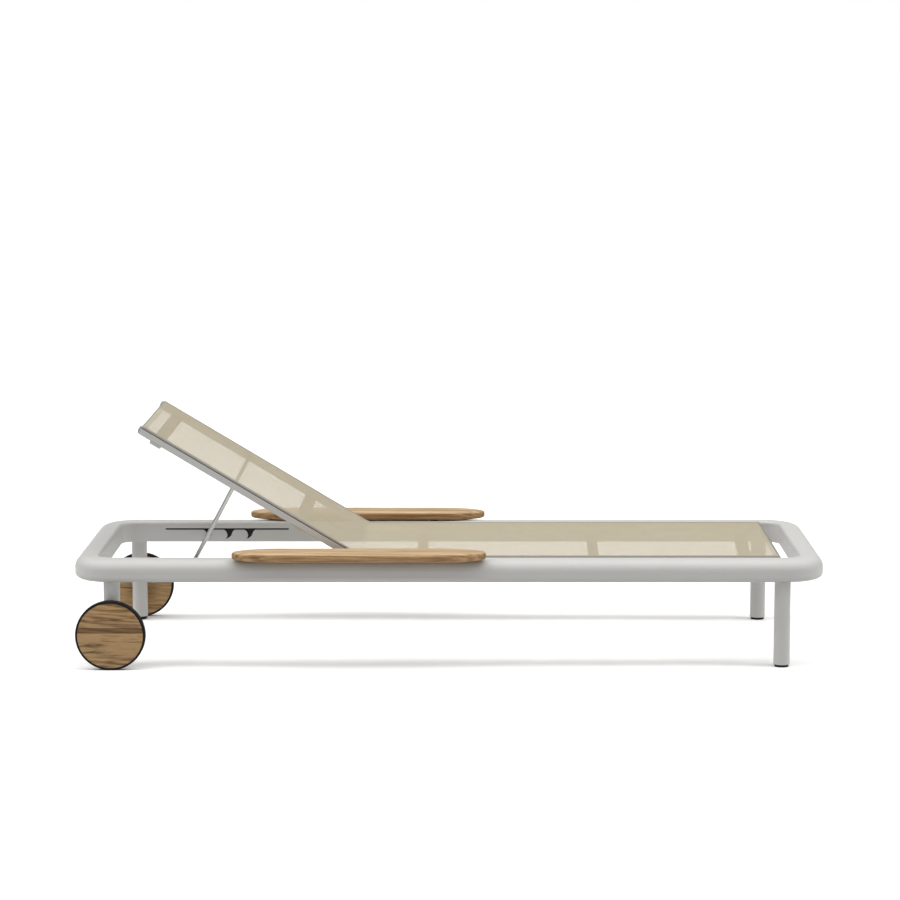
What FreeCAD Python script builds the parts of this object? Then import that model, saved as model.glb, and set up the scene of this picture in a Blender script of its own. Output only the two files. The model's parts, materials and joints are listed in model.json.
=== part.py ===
import FreeCAD, Part
import math
import os

# Reclining sun lounger, in millimetres. The origin is on the floor under the middle of the ring.
# +X points to the foot end, +Y to the left of a person lying on it, +Z up.
# Pieces of the backrest are made in its lowered, flat position and then raised to its rest angle.

# Ring of rounded aluminium tube
LENGTH = 2050.0
RING_INSIDE = 298.0  # half the clear width between the side rails
TUBE_WIDTH = 66.0
TUBE_HEIGHT = 60.0
TUBE_WALL = 3.0
RING_BOTTOM = 236.0
BEND_INSIDE = 44.0  # radius of a corner's inner face, seen from above
ROUND_INNER_TOP = 8.0
ROUND_OUTER_TOP = 30.0
ROUND_OUTER_BOTTOM = 14.0
ROUND_INNER_BOTTOM = 4.0

# Legs and glides
LEG_RADIUS = 22.2
LEG_WALL = 2.5
LEG_Y = RING_INSIDE + TUBE_WIDTH / 2
LEG_X_HEAD = -917.0
LEG_X_FOOT = 907.0
GLIDE_RADIUS = 19.5
GLIDE_SHOW = 7.0  # how much of a glide shows under its leg
GLIDE_STEM = 15.0
GLIDE_ROUND = 1.5
HEAD_GLIDE_GAP = 3.0  # the wheels carry the head end, so its glides clear the floor

# Wheels
WHEEL_RADIUS = 95.0
TYRE_THICKNESS = 5.5
TYRE_ROUND = 2.5
DISC_CHAMFER = 1.0
WHEEL_WIDTH = 22.0
WHEEL_INSIDE = 365.0  # distance of a wheel's inner face from the middle
AXLE_RADIUS = 6.0
AXLE_COLLAR_RADIUS = 11.0
AXLE_INNER_END = 312.0
AXLE_OUTER_END = 381.0
BUSH_RADIUS = 12.0
BUSH_LENGTH = 12.0
BUSH_CLEARANCE = 0.06
WHEEL_BORE_DEPTH = 17.0
CLIP_RADIUS = 9.0
CLIP_THICKNESS = 1.2

# Backrest hinge and the rails of both slings
HINGE_X = -239.0
HINGE_Z = 287.0
BACK_ANGLE = 31.0
BACK_LENGTH = 697.0
RAIL_OUTSIDE = 286.0
RAIL_WIDTH = 18.0
RAIL_TOP = 7.6  # height of a rail's top above the hinge axis
RAIL_HEIGHT = 22.0
RAIL_LIP = 1.2  # how far the rail stands out below its keder groove
RAIL_WALL = 2.0
RAIL_ROUND = 3.0
RAIL_TOP_ROUND = 2.0
LIP_ROUND = 0.5
RAIL_CORE_OUTSIDE = 7.5  # from the rail's outer face to its hollow core
KEDER_DEPTH = 3.4
KEDER_DROP = 3.5  # keder centre below the rail's top
KEDER_RADIUS = 2.3
KEDER_MOUTH = 2.8
SLING_THICKNESS = 1.4
SEAT_CAP_LENGTH = 3.0
BACK_CAP_LENGTH = 6.0
CAP_ROUND_TOP = 3.0
CAP_ROUND_BOTTOM = 11.0
BACK_RAIL_START = -9.0
HEEL_ROUND_BOTTOM = 7.0
HEEL_ROUND_TOP = 5.0
SEAT_RAIL_START = HINGE_X + 18.0
SEAT_END = 903.0
FOLD_CLEARANCE = 8.0  # the slings stop short of the fold, on both sides of it
HINGE_PIN_RADIUS = 3.5
HINGE_PIN_CLEARANCE = 0.06
HINGE_PLATE_THICKNESS = 5.0
HINGE_PLATE_GAP = 0.6
HINGE_PLATE_REACH = 96.0
HINGE_PLATE_HEIGHT = 15.0

# Crossbars
HEAD_BAR_AT = 642.0  # distance from the hinge along the backrest
HEAD_BAR_WIDTH = 34.0
HEAD_BAR_THICKNESS = 7.0
LOWER_BAR_AT = 187.0
LOWER_BAR_WIDTH = 36.0
LOWER_BAR_THICKNESS = 10.0
LOWER_BAR_BOW = 26.0
SEAT_BARS = {"upper": (-79.0, 31.0), "middle": (413.0, 31.0), "foot": (849.0, 38.0)}  # place, width
SEAT_BAR_THICKNESS = 14.0
SEAT_BAR_END_Z = 259.0
SEAT_BAR_BOW = 51.0

# Seat rail fixings
SPACER_PLACES = (-125.0, 170.0, 560.0, 880.0)
SPACER_RADIUS = 6.5
SPACER_Z = HINGE_Z + RAIL_TOP - 15.0
SCREW_RADIUS = 3.0
SCREW_HEAD_RADIUS = 5.5
SCREW_HEAD_HEIGHT = 3.5
SCREW_NUT_LENGTH = 4.0

# Prop: a bent rod whose ends turn in the back rails and whose studs sit in the notches
PROP_PIVOT_AT = 402.0
PROP_PIVOT_DROP = 4.0
ROD_RADIUS = 5.5
ROD_BEND = 12.0
PROP_LEG_Y = 252.0
PROP_ROD_END = 277.0
PROP_FOOT_X = -712.0
PROP_FOOT_Z = 254.0
CROSS_ROD_HALF = 289.0
STUD_RADIUS = 3.0
STUD_END = RING_INSIDE - 0.6
PROP_BUSH_RADIUS = 7.0
PROP_BUSH_FLANGE = 9.0
PROP_BUSH_FLANGE_THICKNESS = 1.5
PROP_BUSH_CLEARANCE = 0.06

# Slot and notches in the side rails' inner wall
SLOT_START = -836.0
SLOT_END = -474.0
SLOT_Z = 274.0
SLOT_HEIGHT = 4.6
NOTCH_TIPS = (-718.0, -657.8, -597.4)
# A notch's hooked outline from its head-side mouth round to its foot-side mouth: how far along from the
# tip and how far below the slot. Every second point is the crown of an arc between its neighbours.
NOTCH_OUTLINE = (
    (-13.0, -1.0),
    (-1.5, 4.0),
    (3.0, 14.0),
    (2.4, 21.0),
    (-1.5, 25.6),
    (-0.9, 26.3),
    (0.0, 26.4),
    (11.0, 20.5),
    (17.0, 10.0),
    (20.5, 3.4),
    (26.5, -1.0),
)
LINER_THICKNESS = 2.5
LINER_MARGIN = 10.0
LINER_ROUND = 3.0

# Teak armrest boards
BOARD_HEAD = -588.5
BOARD_FOOT = 100.5
BOARD_INSIDE = 303.0
BOARD_WIDTH = 102.0
BOARD_THICKNESS = 24.0
BOARD_TAPER = 140.0  # length of the elliptical taper at each end
BOARD_ROUND = 8.0
BOARD_PAD = 2.0
PAD_PLACES = (-440.0, -244.0, -48.0)
PAD_RADIUS = 13.0
PAD_Y = 320.0
BOARD_SCREW_DEPTH = 15.0

SIDES = {"left": 1, "right": -1}
RING_TOP = RING_BOTTOM + TUBE_HEIGHT
HALF_LENGTH = LENGTH / 2
BEND_OUTSIDE = BEND_INSIDE + TUBE_WIDTH
BEND_X = HALF_LENGTH - BEND_OUTSIDE
BEND_Y = RING_INSIDE - BEND_INSIDE
RAIL_INSIDE = RAIL_OUTSIDE - RAIL_WIDTH
RAIL_BOTTOM = RAIL_TOP - RAIL_HEIGHT
LEG_SURFACE = LEG_Y + LEG_RADIUS


def vec(x, y, z):
    return FreeCAD.Vector(x, y, z)


def save(name, *solids):
    """Write one sub-part, which is a single solid or a group of like solids."""
    shape = solids[0] if len(solids) == 1 else Part.makeCompound(list(solids))
    shape.exportStep(os.path.join("parts", name + ".step"))


def rounded_wire(corners, radii):
    """A closed outline through the corners, each rounded by its own radius."""
    count = len(corners)
    turns = []
    for i, corner in enumerate(corners):
        before = (corners[i - 1] - corner).normalize()
        after = (corners[(i + 1) % count] - corner).normalize()
        half_angle = before.getAngle(after) / 2
        reach = radii[i] / math.tan(half_angle)
        middle = (before + after).normalize()
        crown = corner + middle * (radii[i] / math.sin(half_angle) - radii[i])
        turns.append((corner + before * reach, crown, corner + after * reach))
    edges = []
    for i, (start, crown, end) in enumerate(turns):
        if radii[i] > 0:
            edges.append(Part.Arc(start, crown, end).toShape())
        following = turns[(i + 1) % count][0]
        if (following - end).Length > 1e-6:
            edges.append(Part.LineSegment(end, following).toShape())
    return Part.Wire(Part.__sortEdges__(edges))


def rounded_face(corners, radii):
    return Part.Face(rounded_wire(corners, radii))


def box_corners(place, low_a, low_b, high_a, high_b):
    """Four corners of a rectangle, put in space by place(a, b)."""
    return [place(low_a, low_b), place(high_a, low_b), place(high_a, high_b), place(low_a, high_b)]


def rod_y(x, z, radius, y_start, y_end):
    """A round bar along Y."""
    low, high = sorted((y_start, y_end))
    return Part.makeCylinder(radius, high - low, vec(x, low, z), vec(0, 1, 0))


def raise_back(shape):
    """Turn a piece made flat about the hinge to the backrest's rest angle."""
    raised = shape.copy()
    raised.rotate(vec(HINGE_X, 0, HINGE_Z), vec(0, 1, 0), BACK_ANGLE)
    return raised


# Ring -------------------------------------------------------------------------------------------


def tube_section(place):
    """The tube's hollow cross-section. place(across, up) counts across from the inner face."""
    outer = box_corners(place, 0, 0, TUBE_WIDTH, TUBE_HEIGHT)
    radii = [ROUND_INNER_BOTTOM, ROUND_OUTER_BOTTOM, ROUND_OUTER_TOP, ROUND_INNER_TOP]
    wall = TUBE_WALL
    inner = box_corners(place, wall, wall, TUBE_WIDTH - wall, TUBE_HEIGHT - wall)
    inner_radii = [radius - wall for radius in radii]
    return rounded_face(outer, radii).cut(rounded_face(inner, inner_radii)).Faces[0]


def slot_and_notches(y_start, y_end):
    """The cutter for one side: a long slot with three hooked notches that lean to the head end."""
    low = SLOT_Z - SLOT_HEIGHT / 2

    def plate(wire):
        return Part.Face(wire).extrude(vec(0, y_end - y_start, 0))

    def point(u, v):
        return vec(u, y_start, v)

    ends = box_corners(point, SLOT_START, low, SLOT_END, low + SLOT_HEIGHT)
    cutter = plate(rounded_wire(ends, [SLOT_HEIGHT / 2 - 0.1] * 4))
    for tip in NOTCH_TIPS:
        outline = [point(tip + along, low - down) for along, down in NOTCH_OUTLINE]
        edges = [Part.LineSegment(outline[-1], outline[0]).toShape()]
        for start, crown, end in zip(outline[::2], outline[1::2], outline[2::2]):
            edges.append(Part.Arc(start, crown, end).toShape())
        cutter = cutter.fuse(plate(Part.Wire(edges)))
    return cutter


def side_rail(side):
    """A straight side rail, with the prop's slot and the seat fixings' holes in its inner wall."""
    section = tube_section(lambda a, u: vec(-BEND_X, side * (RING_INSIDE + a), RING_BOTTOM + u))
    rail = section.extrude(vec(2 * BEND_X, 0, 0))
    wall_start = side * (RING_INSIDE - 1)
    wall_end = side * (RING_INSIDE + TUBE_WALL + 1)
    rail = rail.cut(slot_and_notches(wall_start, wall_end))
    for x in SPACER_PLACES:
        rail = rail.cut(rod_y(x, SPACER_Z, SCREW_RADIUS, wall_start, wall_end))
    for x in PAD_PLACES:
        hole = Part.makeCylinder(SCREW_RADIUS, 2 * TUBE_WALL, vec(x, side * PAD_Y, RING_TOP - TUBE_WALL - 1))
        rail = rail.cut(hole)
    return rail


def end_rail(end):
    """The straight head or foot rail between two corner bends."""
    inside = HALF_LENGTH - TUBE_WIDTH
    section = tube_section(lambda a, u: vec(end * (inside + a), -BEND_Y, RING_BOTTOM + u))
    return section.extrude(vec(0, 2 * BEND_Y, 0))


def corner_bend(end, side):
    """A quarter bend that joins a side rail to an end rail."""
    x, y = end * BEND_X, side * BEND_Y
    section = tube_section(lambda a, u: vec(x, y + side * (BEND_INSIDE + a), RING_BOTTOM + u))
    return section.revolve(vec(x, y, 0), vec(0, 0, 1), -90 * end * side)


def make_ring():
    for hand, side in SIDES.items():
        save(f"side_rail_{hand}", side_rail(side))
        for place, end in (("head", -1), ("foot", 1)):
            save(f"corner_{place}_{hand}", corner_bend(end, side))
        liner_y = side * (RING_INSIDE + TUBE_WALL)
        liner_low = RING_BOTTOM + TUBE_WALL + ROUND_INNER_BOTTOM
        liner_high = SLOT_Z + LINER_MARGIN
        strip = box_corners(
            lambda x, z: vec(x, liner_y, z),
            SLOT_START - LINER_MARGIN,
            liner_low,
            SLOT_END + LINER_MARGIN,
            liner_high,
        )
        thickness = vec(0, side * LINER_THICKNESS, 0)
        save(f"slot_liner_{hand}", rounded_face(strip, [LINER_ROUND] * 4).extrude(thickness))
    save("head_rail", end_rail(-1))
    save("foot_rail", end_rail(1))


# Legs, glides and wheels ------------------------------------------------------------------------


def leg(x, side, bottom):
    """A round tube leg, open at the bottom for its glide."""
    y = side * LEG_Y
    height = RING_BOTTOM - bottom
    tube = Part.makeCylinder(LEG_RADIUS, height, vec(x, y, bottom))
    return tube.cut(Part.makeCylinder(LEG_RADIUS - LEG_WALL, height, vec(x, y, bottom)))


def rims(disc):
    """The circular edges at both ends of a cylinder."""
    return [edge for edge in disc.Edges if edge.Closed]


def glide(x, side, bottom):
    """A black glide: a rounded foot with a stem that fills the leg's end."""
    y = side * LEG_Y
    foot = Part.makeCylinder(GLIDE_RADIUS, GLIDE_SHOW, vec(x, y, bottom))
    floor_rim = [edge for edge in rims(foot) if edge.BoundBox.ZMax < bottom + 1]
    foot = foot.makeFillet(GLIDE_ROUND, floor_rim)
    stem = Part.makeCylinder(LEG_RADIUS - LEG_WALL, GLIDE_STEM, vec(x, y, bottom + GLIDE_SHOW))
    return foot.fuse(stem).removeSplitter()


def axle(side):
    """A shaft fixed across a head leg, with a collar that keeps the wheel off the leg."""
    x, z = LEG_X_HEAD, WHEEL_RADIUS
    shaft = rod_y(x, z, AXLE_RADIUS, side * AXLE_INNER_END, side * AXLE_OUTER_END)
    collar = rod_y(x, z, AXLE_COLLAR_RADIUS, side * (LEG_SURFACE - 8), side * (WHEEL_INSIDE - 0.4))
    return shaft.fuse(collar).removeSplitter()


def tyre(side):
    y_in, y_out = side * WHEEL_INSIDE, side * (WHEEL_INSIDE + WHEEL_WIDTH)
    outer = rod_y(LEG_X_HEAD, WHEEL_RADIUS, WHEEL_RADIUS, y_in, y_out)
    outer = outer.makeFillet(TYRE_ROUND, rims(outer))
    return outer.cut(rod_y(LEG_X_HEAD, WHEEL_RADIUS, WHEEL_RADIUS - TYRE_THICKNESS, y_in, y_out))


def wheel_disc(side):
    """A solid teak disc with a blind bore on its inner side."""
    x, z = LEG_X_HEAD, WHEEL_RADIUS
    y_in, y_out = side * WHEEL_INSIDE, side * (WHEEL_INSIDE + WHEEL_WIDTH)
    disc = rod_y(x, z, WHEEL_RADIUS - TYRE_THICKNESS, y_in, y_out)
    disc = disc.makeChamfer(DISC_CHAMFER, rims(disc))
    return disc.cut(rod_y(x, z, BUSH_RADIUS, y_in, side * (WHEEL_INSIDE + WHEEL_BORE_DEPTH)))


def wheel_bush(side):
    x, z = LEG_X_HEAD, WHEEL_RADIUS
    y_in, y_out = side * WHEEL_INSIDE, side * (WHEEL_INSIDE + BUSH_LENGTH)
    bush = rod_y(x, z, BUSH_RADIUS, y_in, y_out)
    return bush.cut(rod_y(x, z, AXLE_RADIUS + BUSH_CLEARANCE, y_in, y_out))


def axle_clip(side):
    """A spring clip on the axle, past the bush, that keeps the wheel on."""
    x, z = LEG_X_HEAD, WHEEL_RADIUS
    start = side * (WHEEL_INSIDE + BUSH_LENGTH + 0.4)
    end = start + side * CLIP_THICKNESS
    return rod_y(x, z, CLIP_RADIUS, start, end).cut(rod_y(x, z, AXLE_RADIUS, start, end))


def make_legs_and_wheels():
    for hand, side in SIDES.items():
        shaft = axle(side)
        head_leg = leg(LEG_X_HEAD, side, HEAD_GLIDE_GAP + GLIDE_SHOW)
        save(f"leg_head_{hand}", head_leg.cut(shaft))
        save(f"leg_foot_{hand}", leg(LEG_X_FOOT, side, GLIDE_SHOW))
        save(f"axle_{hand}", shaft)
        save(f"wheel_disc_{hand}", wheel_disc(side))
        save(f"tyre_{hand}", tyre(side))
        save(f"wheel_bush_{hand}", wheel_bush(side))
    sides = SIDES.values()
    save("head_glides", *[glide(LEG_X_HEAD, side, HEAD_GLIDE_GAP) for side in sides])
    save("foot_glides", *[glide(LEG_X_FOOT, side, 0) for side in sides])
    save("axle_clips", *[axle_clip(side) for side in sides])


# Sling rails ------------------------------------------------------------------------------------


def rail_outline(point):
    """A rail's outline. point(across, up) counts across from the outer face, inwards."""
    lip_top = RAIL_TOP - KEDER_DROP - KEDER_MOUTH / 2
    corners = [
        point(-RAIL_LIP, RAIL_BOTTOM),
        point(RAIL_WIDTH, RAIL_BOTTOM),
        point(RAIL_WIDTH, RAIL_TOP),
        point(0, RAIL_TOP),
        point(0, lip_top),
        point(-RAIL_LIP, lip_top - RAIL_LIP),
    ]
    return rounded_face(corners, [RAIL_ROUND, RAIL_ROUND, RAIL_ROUND, RAIL_TOP_ROUND, 0, LIP_ROUND])


def sling_rail(side, x_start, x_end):
    """A hollow rail whose keder groove opens in its outer face."""

    def point(across, up):
        return vec(x_start, side * (RAIL_OUTSIDE - across), HINGE_Z + up)

    run = vec(x_end - x_start, 0, 0)
    rail = rail_outline(point).extrude(run)
    core = box_corners(
        point,
        RAIL_CORE_OUTSIDE,
        RAIL_BOTTOM + RAIL_WALL,
        RAIL_WIDTH - RAIL_WALL,
        RAIL_TOP - RAIL_WALL,
    )
    rail = rail.cut(rounded_face(core, [1] * 4).extrude(run))
    rail = rail.cut(keder(side, x_start, x_end))
    half_mouth = KEDER_MOUTH / 2
    mouth_up = RAIL_TOP - KEDER_DROP
    mouth = box_corners(point, -1, mouth_up - half_mouth, KEDER_DEPTH, mouth_up + half_mouth)
    return rail.cut(rounded_face(mouth, [0] * 4).extrude(run))


def keder(side, x_start, x_end):
    """The cord sewn in the sling's edge, which fills the groove."""
    low, high = sorted((x_start, x_end))
    start = vec(low, side * (RAIL_OUTSIDE - KEDER_DEPTH), HINGE_Z + RAIL_TOP - KEDER_DROP)
    return Part.makeCylinder(KEDER_RADIUS, high - low, start, vec(1, 0, 0))


def rail_cap(side, x_start, x_end):
    """A plastic plate that closes a rail's free end."""

    def point(across, up):
        return vec(x_start, side * (RAIL_OUTSIDE - across), HINGE_Z + up)

    return rail_outline(point).extrude(vec(x_end - x_start, 0, 0))


def sling(x_start, x_end):
    """A taut sheet of mesh on top of both rails."""
    z = HINGE_Z + RAIL_TOP
    width = 2 * RAIL_OUTSIDE - 2
    return Part.makeBox(x_end - x_start, width, SLING_THICKNESS, vec(x_start, -width / 2, z))


def hinge_pin(side, radius):
    """The shoulder pin from a hinge plate through the back rail."""
    return rod_y(HINGE_X, HINGE_Z, radius, side * plate_inside(), side * (RAIL_OUTSIDE - 1))


def plate_inside():
    return RAIL_INSIDE - HINGE_PLATE_GAP - HINGE_PLATE_THICKNESS


def hinge_plate(side):
    """A steel plate on the seat rail's inner face that reaches back to the hinge pin."""
    half = HINGE_PLATE_HEIGHT / 2
    corners = box_corners(
        lambda x, z: vec(x, side * plate_inside(), z),
        HINGE_X - half,
        HINGE_Z - half,
        HINGE_X + HINGE_PLATE_REACH,
        HINGE_Z + half,
    )
    plate = rounded_face(corners, [half - 0.1] * 4).extrude(vec(0, side * HINGE_PLATE_THICKNESS, 0))
    return plate.cut(hinge_pin(side, HINGE_PIN_RADIUS))


def plate_shim(side):
    """The thin shim that holds a hinge plate clear of the moving back rail."""
    corners = box_corners(
        lambda x, z: vec(x, side * (RAIL_INSIDE - HINGE_PLATE_GAP), z),
        SEAT_RAIL_START + 2,
        HINGE_Z - HINGE_PLATE_HEIGHT / 2,
        HINGE_X + HINGE_PLATE_REACH - 8,
        HINGE_Z + HINGE_PLATE_HEIGHT / 2 - 3,
    )
    return rounded_face(corners, [1] * 4).extrude(vec(0, side * HINGE_PLATE_GAP, 0))


def seat_screw(x, side):
    """A screw through the seat rail and its spacer into the ring, with a nut behind the wall."""
    head_start = RAIL_INSIDE - SCREW_HEAD_HEIGHT
    nut_start = RING_INSIDE + TUBE_WALL
    nut_end = nut_start + SCREW_NUT_LENGTH
    head = rod_y(x, SPACER_Z, SCREW_HEAD_RADIUS, side * head_start, side * RAIL_INSIDE)
    shank = rod_y(x, SPACER_Z, SCREW_RADIUS, side * head_start, side * nut_end)
    nut = rod_y(x, SPACER_Z, SCREW_HEAD_RADIUS, side * nut_start, side * nut_end)
    return head.fuse(shank).fuse(nut).removeSplitter()


def spacer(x, side):
    start, end = side * (RAIL_OUTSIDE + RAIL_LIP), side * RING_INSIDE
    return rod_y(x, SPACER_Z, SPACER_RADIUS, start, end).cut(rod_y(x, SPACER_Z, SCREW_RADIUS, start, end))


def bowed_bar(x, half_span, end_z, bow, thickness, width):
    """A flat oval bar along Y whose middle hangs lower than its ends."""
    radius = (half_span**2 + bow**2) / (2 * bow)
    centre_z = end_z - bow + radius
    swing = math.degrees(math.asin(half_span / radius)) + 1
    corners = box_corners(
        lambda a, b: vec(a, 0, b),
        x - width / 2,
        centre_z - radius - thickness / 2,
        x + width / 2,
        centre_z - radius + thickness / 2,
    )
    face = rounded_face(corners, [thickness / 2 - 0.1] * 4)
    face.rotate(vec(x, 0, centre_z), vec(1, 0, 0), -swing)
    bar = face.revolve(vec(x, 0, centre_z), vec(1, 0, 0), 2 * swing)
    reach = bow + thickness
    keep = Part.makeBox(2 * width, 2 * half_span, 2 * reach, vec(x - width, -half_span, end_z - reach))
    return bar.common(keep)


def make_seat():
    for hand, side in SIDES.items():
        rail = sling_rail(side, SEAT_RAIL_START, SEAT_END)
        for x in SPACER_PLACES:
            rail = rail.cut(rod_y(x, SPACER_Z, SCREW_RADIUS, side * RAIL_INSIDE, side * RING_INSIDE))
        save(f"seat_rail_{hand}", rail)
        save(f"seat_keder_{hand}", keder(side, SEAT_RAIL_START, SEAT_END))
        save(f"hinge_plate_{hand}", hinge_plate(side).fuse(plate_shim(side)))
    sides = SIDES.values()
    save("seat_rail_caps", *[rail_cap(side, SEAT_END, SEAT_END + SEAT_CAP_LENGTH) for side in sides])
    save("hinge_pins", *[hinge_pin(side, HINGE_PIN_RADIUS) for side in sides])
    save("seat_rail_spacers", *[spacer(x, side) for side in sides for x in SPACER_PLACES])
    save("seat_rail_screws", *[seat_screw(x, side) for side in sides for x in SPACER_PLACES])
    for place, (x, width) in SEAT_BARS.items():
        bar = bowed_bar(x, RING_INSIDE, SEAT_BAR_END_Z, SEAT_BAR_BOW, SEAT_BAR_THICKNESS, width)
        save(f"seat_crossbar_{place}", bar)
    save("seat_sling", sling(HINGE_X + FOLD_CLEARANCE, SEAT_END))


# Backrest ---------------------------------------------------------------------------------------


def flat_x(distance):
    """X of a point at this distance from the hinge along the lowered backrest."""
    return HINGE_X - distance


def back_side_view(side):
    """A back rail and its cap seen from the side, with both ends rounded, as thick as the rail."""
    corners = box_corners(
        lambda x, z: vec(x, side * RAIL_INSIDE, z),
        flat_x(BACK_LENGTH + BACK_CAP_LENGTH),
        HINGE_Z + RAIL_BOTTOM,
        flat_x(BACK_RAIL_START),
        HINGE_Z + RAIL_TOP,
    )
    radii = [CAP_ROUND_BOTTOM, HEEL_ROUND_BOTTOM, HEEL_ROUND_TOP, CAP_ROUND_TOP]
    return rounded_face(corners, radii).extrude(vec(0, side * (RAIL_WIDTH + RAIL_LIP), 0))


def back_cap(side):
    """The rounded plastic cap on a back rail's head end."""
    start = flat_x(BACK_LENGTH)
    return rail_cap(side, start - BACK_CAP_LENGTH, start).common(back_side_view(side))


def back_rail(side):
    """A back rail with its hinge bore and the pocket for the prop's bush."""
    start, end = flat_x(BACK_LENGTH), flat_x(BACK_RAIL_START)
    rail = sling_rail(side, start, end).common(back_side_view(side))
    bore = HINGE_PIN_RADIUS + HINGE_PIN_CLEARANCE
    rail = rail.cut(rod_y(HINGE_X, HINGE_Z, bore, side * (RAIL_INSIDE - 1), side * (RAIL_OUTSIDE + 1)))
    return rail.cut(prop_pocket(side))


def prop_pocket(side):
    x = flat_x(PROP_PIVOT_AT)
    z = HINGE_Z - PROP_PIVOT_DROP
    depth = side * (RAIL_OUTSIDE - RAIL_CORE_OUTSIDE)
    return rod_y(x, z, PROP_BUSH_RADIUS, side * (RAIL_INSIDE - 1), depth)


def prop_bush(side):
    """A flanged bush in the back rail for the turned end of the prop."""
    x = flat_x(PROP_PIVOT_AT)
    z = HINGE_Z - PROP_PIVOT_DROP
    flange_start = side * (RAIL_INSIDE - PROP_BUSH_FLANGE_THICKNESS)
    end = side * (RAIL_OUTSIDE - RAIL_CORE_OUTSIDE)
    flange = rod_y(x, z, PROP_BUSH_FLANGE, flange_start, side * RAIL_INSIDE)
    body = rod_y(x, z, PROP_BUSH_RADIUS, flange_start, end)
    bore = rod_y(x, z, ROD_RADIUS + PROP_BUSH_CLEARANCE, flange_start, end)
    return flange.fuse(body).cut(bore).removeSplitter()


def head_crossbar():
    """A straight flat bar under both rails; its ends show as small rounded blocks."""
    x = flat_x(HEAD_BAR_AT)
    top = HINGE_Z + RAIL_BOTTOM
    corners = box_corners(
        lambda a, b: vec(a, -RAIL_OUTSIDE, b),
        x - HEAD_BAR_WIDTH / 2,
        top - HEAD_BAR_THICKNESS,
        x + HEAD_BAR_WIDTH / 2,
        top,
    )
    face = rounded_face(corners, [3, 3, 0.5, 0.5])
    return face.extrude(vec(0, 2 * RAIL_OUTSIDE, 0))


def lower_crossbar():
    """A bowed bar welded up against the undersides of both rails."""
    x = flat_x(LOWER_BAR_AT)
    top = HINGE_Z + RAIL_BOTTOM
    end_z = top - LOWER_BAR_THICKNESS / 2 + 2
    size = (LOWER_BAR_THICKNESS, LOWER_BAR_WIDTH)
    bar = bowed_bar(x, RAIL_OUTSIDE - 1, end_z, LOWER_BAR_BOW, *size)
    reach = LOWER_BAR_BOW + LOWER_BAR_WIDTH
    below = Part.makeBox(2 * reach, 2 * RAIL_OUTSIDE, reach, vec(x - reach, -RAIL_OUTSIDE, top - reach))
    return bar.common(below)


def make_backrest():
    start = flat_x(BACK_LENGTH)
    for hand, side in SIDES.items():
        save(f"back_rail_{hand}", raise_back(back_rail(side)))
        save(f"back_keder_{hand}", raise_back(keder(side, start, flat_x(FOLD_CLEARANCE))))
    sides = SIDES.values()
    save("back_rail_caps", *[raise_back(back_cap(side)) for side in sides])
    save("prop_bushes", *[raise_back(prop_bush(side)) for side in sides])
    save("head_crossbar", raise_back(head_crossbar()))
    save("lower_crossbar", raise_back(lower_crossbar()))
    save("back_sling", raise_back(sling(start, flat_x(FOLD_CLEARANCE))))


# Prop -------------------------------------------------------------------------------------------


def prop_pivot():
    """Where the prop turns in the raised backrest."""
    angle = math.radians(BACK_ANGLE)
    along, drop = PROP_PIVOT_AT, -PROP_PIVOT_DROP
    x = HINGE_X - along * math.cos(angle) + drop * math.sin(angle)
    z = HINGE_Z + along * math.sin(angle) + drop * math.cos(angle)
    return x, z


def prop_leg(side, cross_rod):
    """One leg of the bent rod: its end turns out into the bush and its foot meets the cross rod."""
    x, z = prop_pivot()
    pivot = vec(x, side * PROP_LEG_Y, z)
    foot = vec(PROP_FOOT_X, side * PROP_LEG_Y, PROP_FOOT_Z)
    out = vec(0, side, 0)
    down = (foot - pivot).normalize()
    middle = (out + down).normalize()
    start = vec(x, side * PROP_ROD_END, z)
    bend_start = pivot + out * ROD_BEND
    bend_end = pivot + down * ROD_BEND
    crown = pivot + middle * (ROD_BEND * (math.sqrt(2) - 1))
    path = Part.Wire(
        [
            Part.LineSegment(start, bend_start).toShape(),
            Part.Arc(bend_start, crown, bend_end).toShape(),
            Part.LineSegment(bend_end, foot).toShape(),
        ]
    )
    section = Part.Wire([Part.makeCircle(ROD_RADIUS, start, vec(0, -side, 0))])
    return path.makePipeShell([section], True, False).cut(cross_rod)


def make_prop():
    x, z = PROP_FOOT_X, PROP_FOOT_Z
    cross_rod = rod_y(x, z, ROD_RADIUS, -CROSS_ROD_HALF, CROSS_ROD_HALF)
    for hand, side in SIDES.items():
        save(f"prop_leg_{hand}", prop_leg(side, cross_rod))
    save("prop_cross_rod", cross_rod)
    sides = SIDES.values()
    save("prop_studs", *[rod_y(x, z, STUD_RADIUS, s * CROSS_ROD_HALF, s * STUD_END) for s in sides])


# Armrest boards ---------------------------------------------------------------------------------


def board_outline(side, z):
    """A long board's plan: straight sides and a half ellipse at each end."""
    half_width = BOARD_WIDTH / 2
    y = side * (BOARD_INSIDE + half_width)
    head_x = BOARD_HEAD + BOARD_TAPER
    foot_x = BOARD_FOOT - BOARD_TAPER
    edges = []
    for centre_x, first in ((foot_x, -90), (head_x, 90)):
        ellipse = Part.Ellipse(vec(centre_x, y, z), BOARD_TAPER, half_width)
        half = Part.ArcOfEllipse(ellipse, math.radians(first), math.radians(first + 180))
        edges.append(half.toShape())
    for edge_y in (y - half_width, y + half_width):
        edges.append(Part.LineSegment(vec(head_x, edge_y, z), vec(foot_x, edge_y, z)).toShape())
    return Part.Wire(Part.__sortEdges__(edges))


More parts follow.
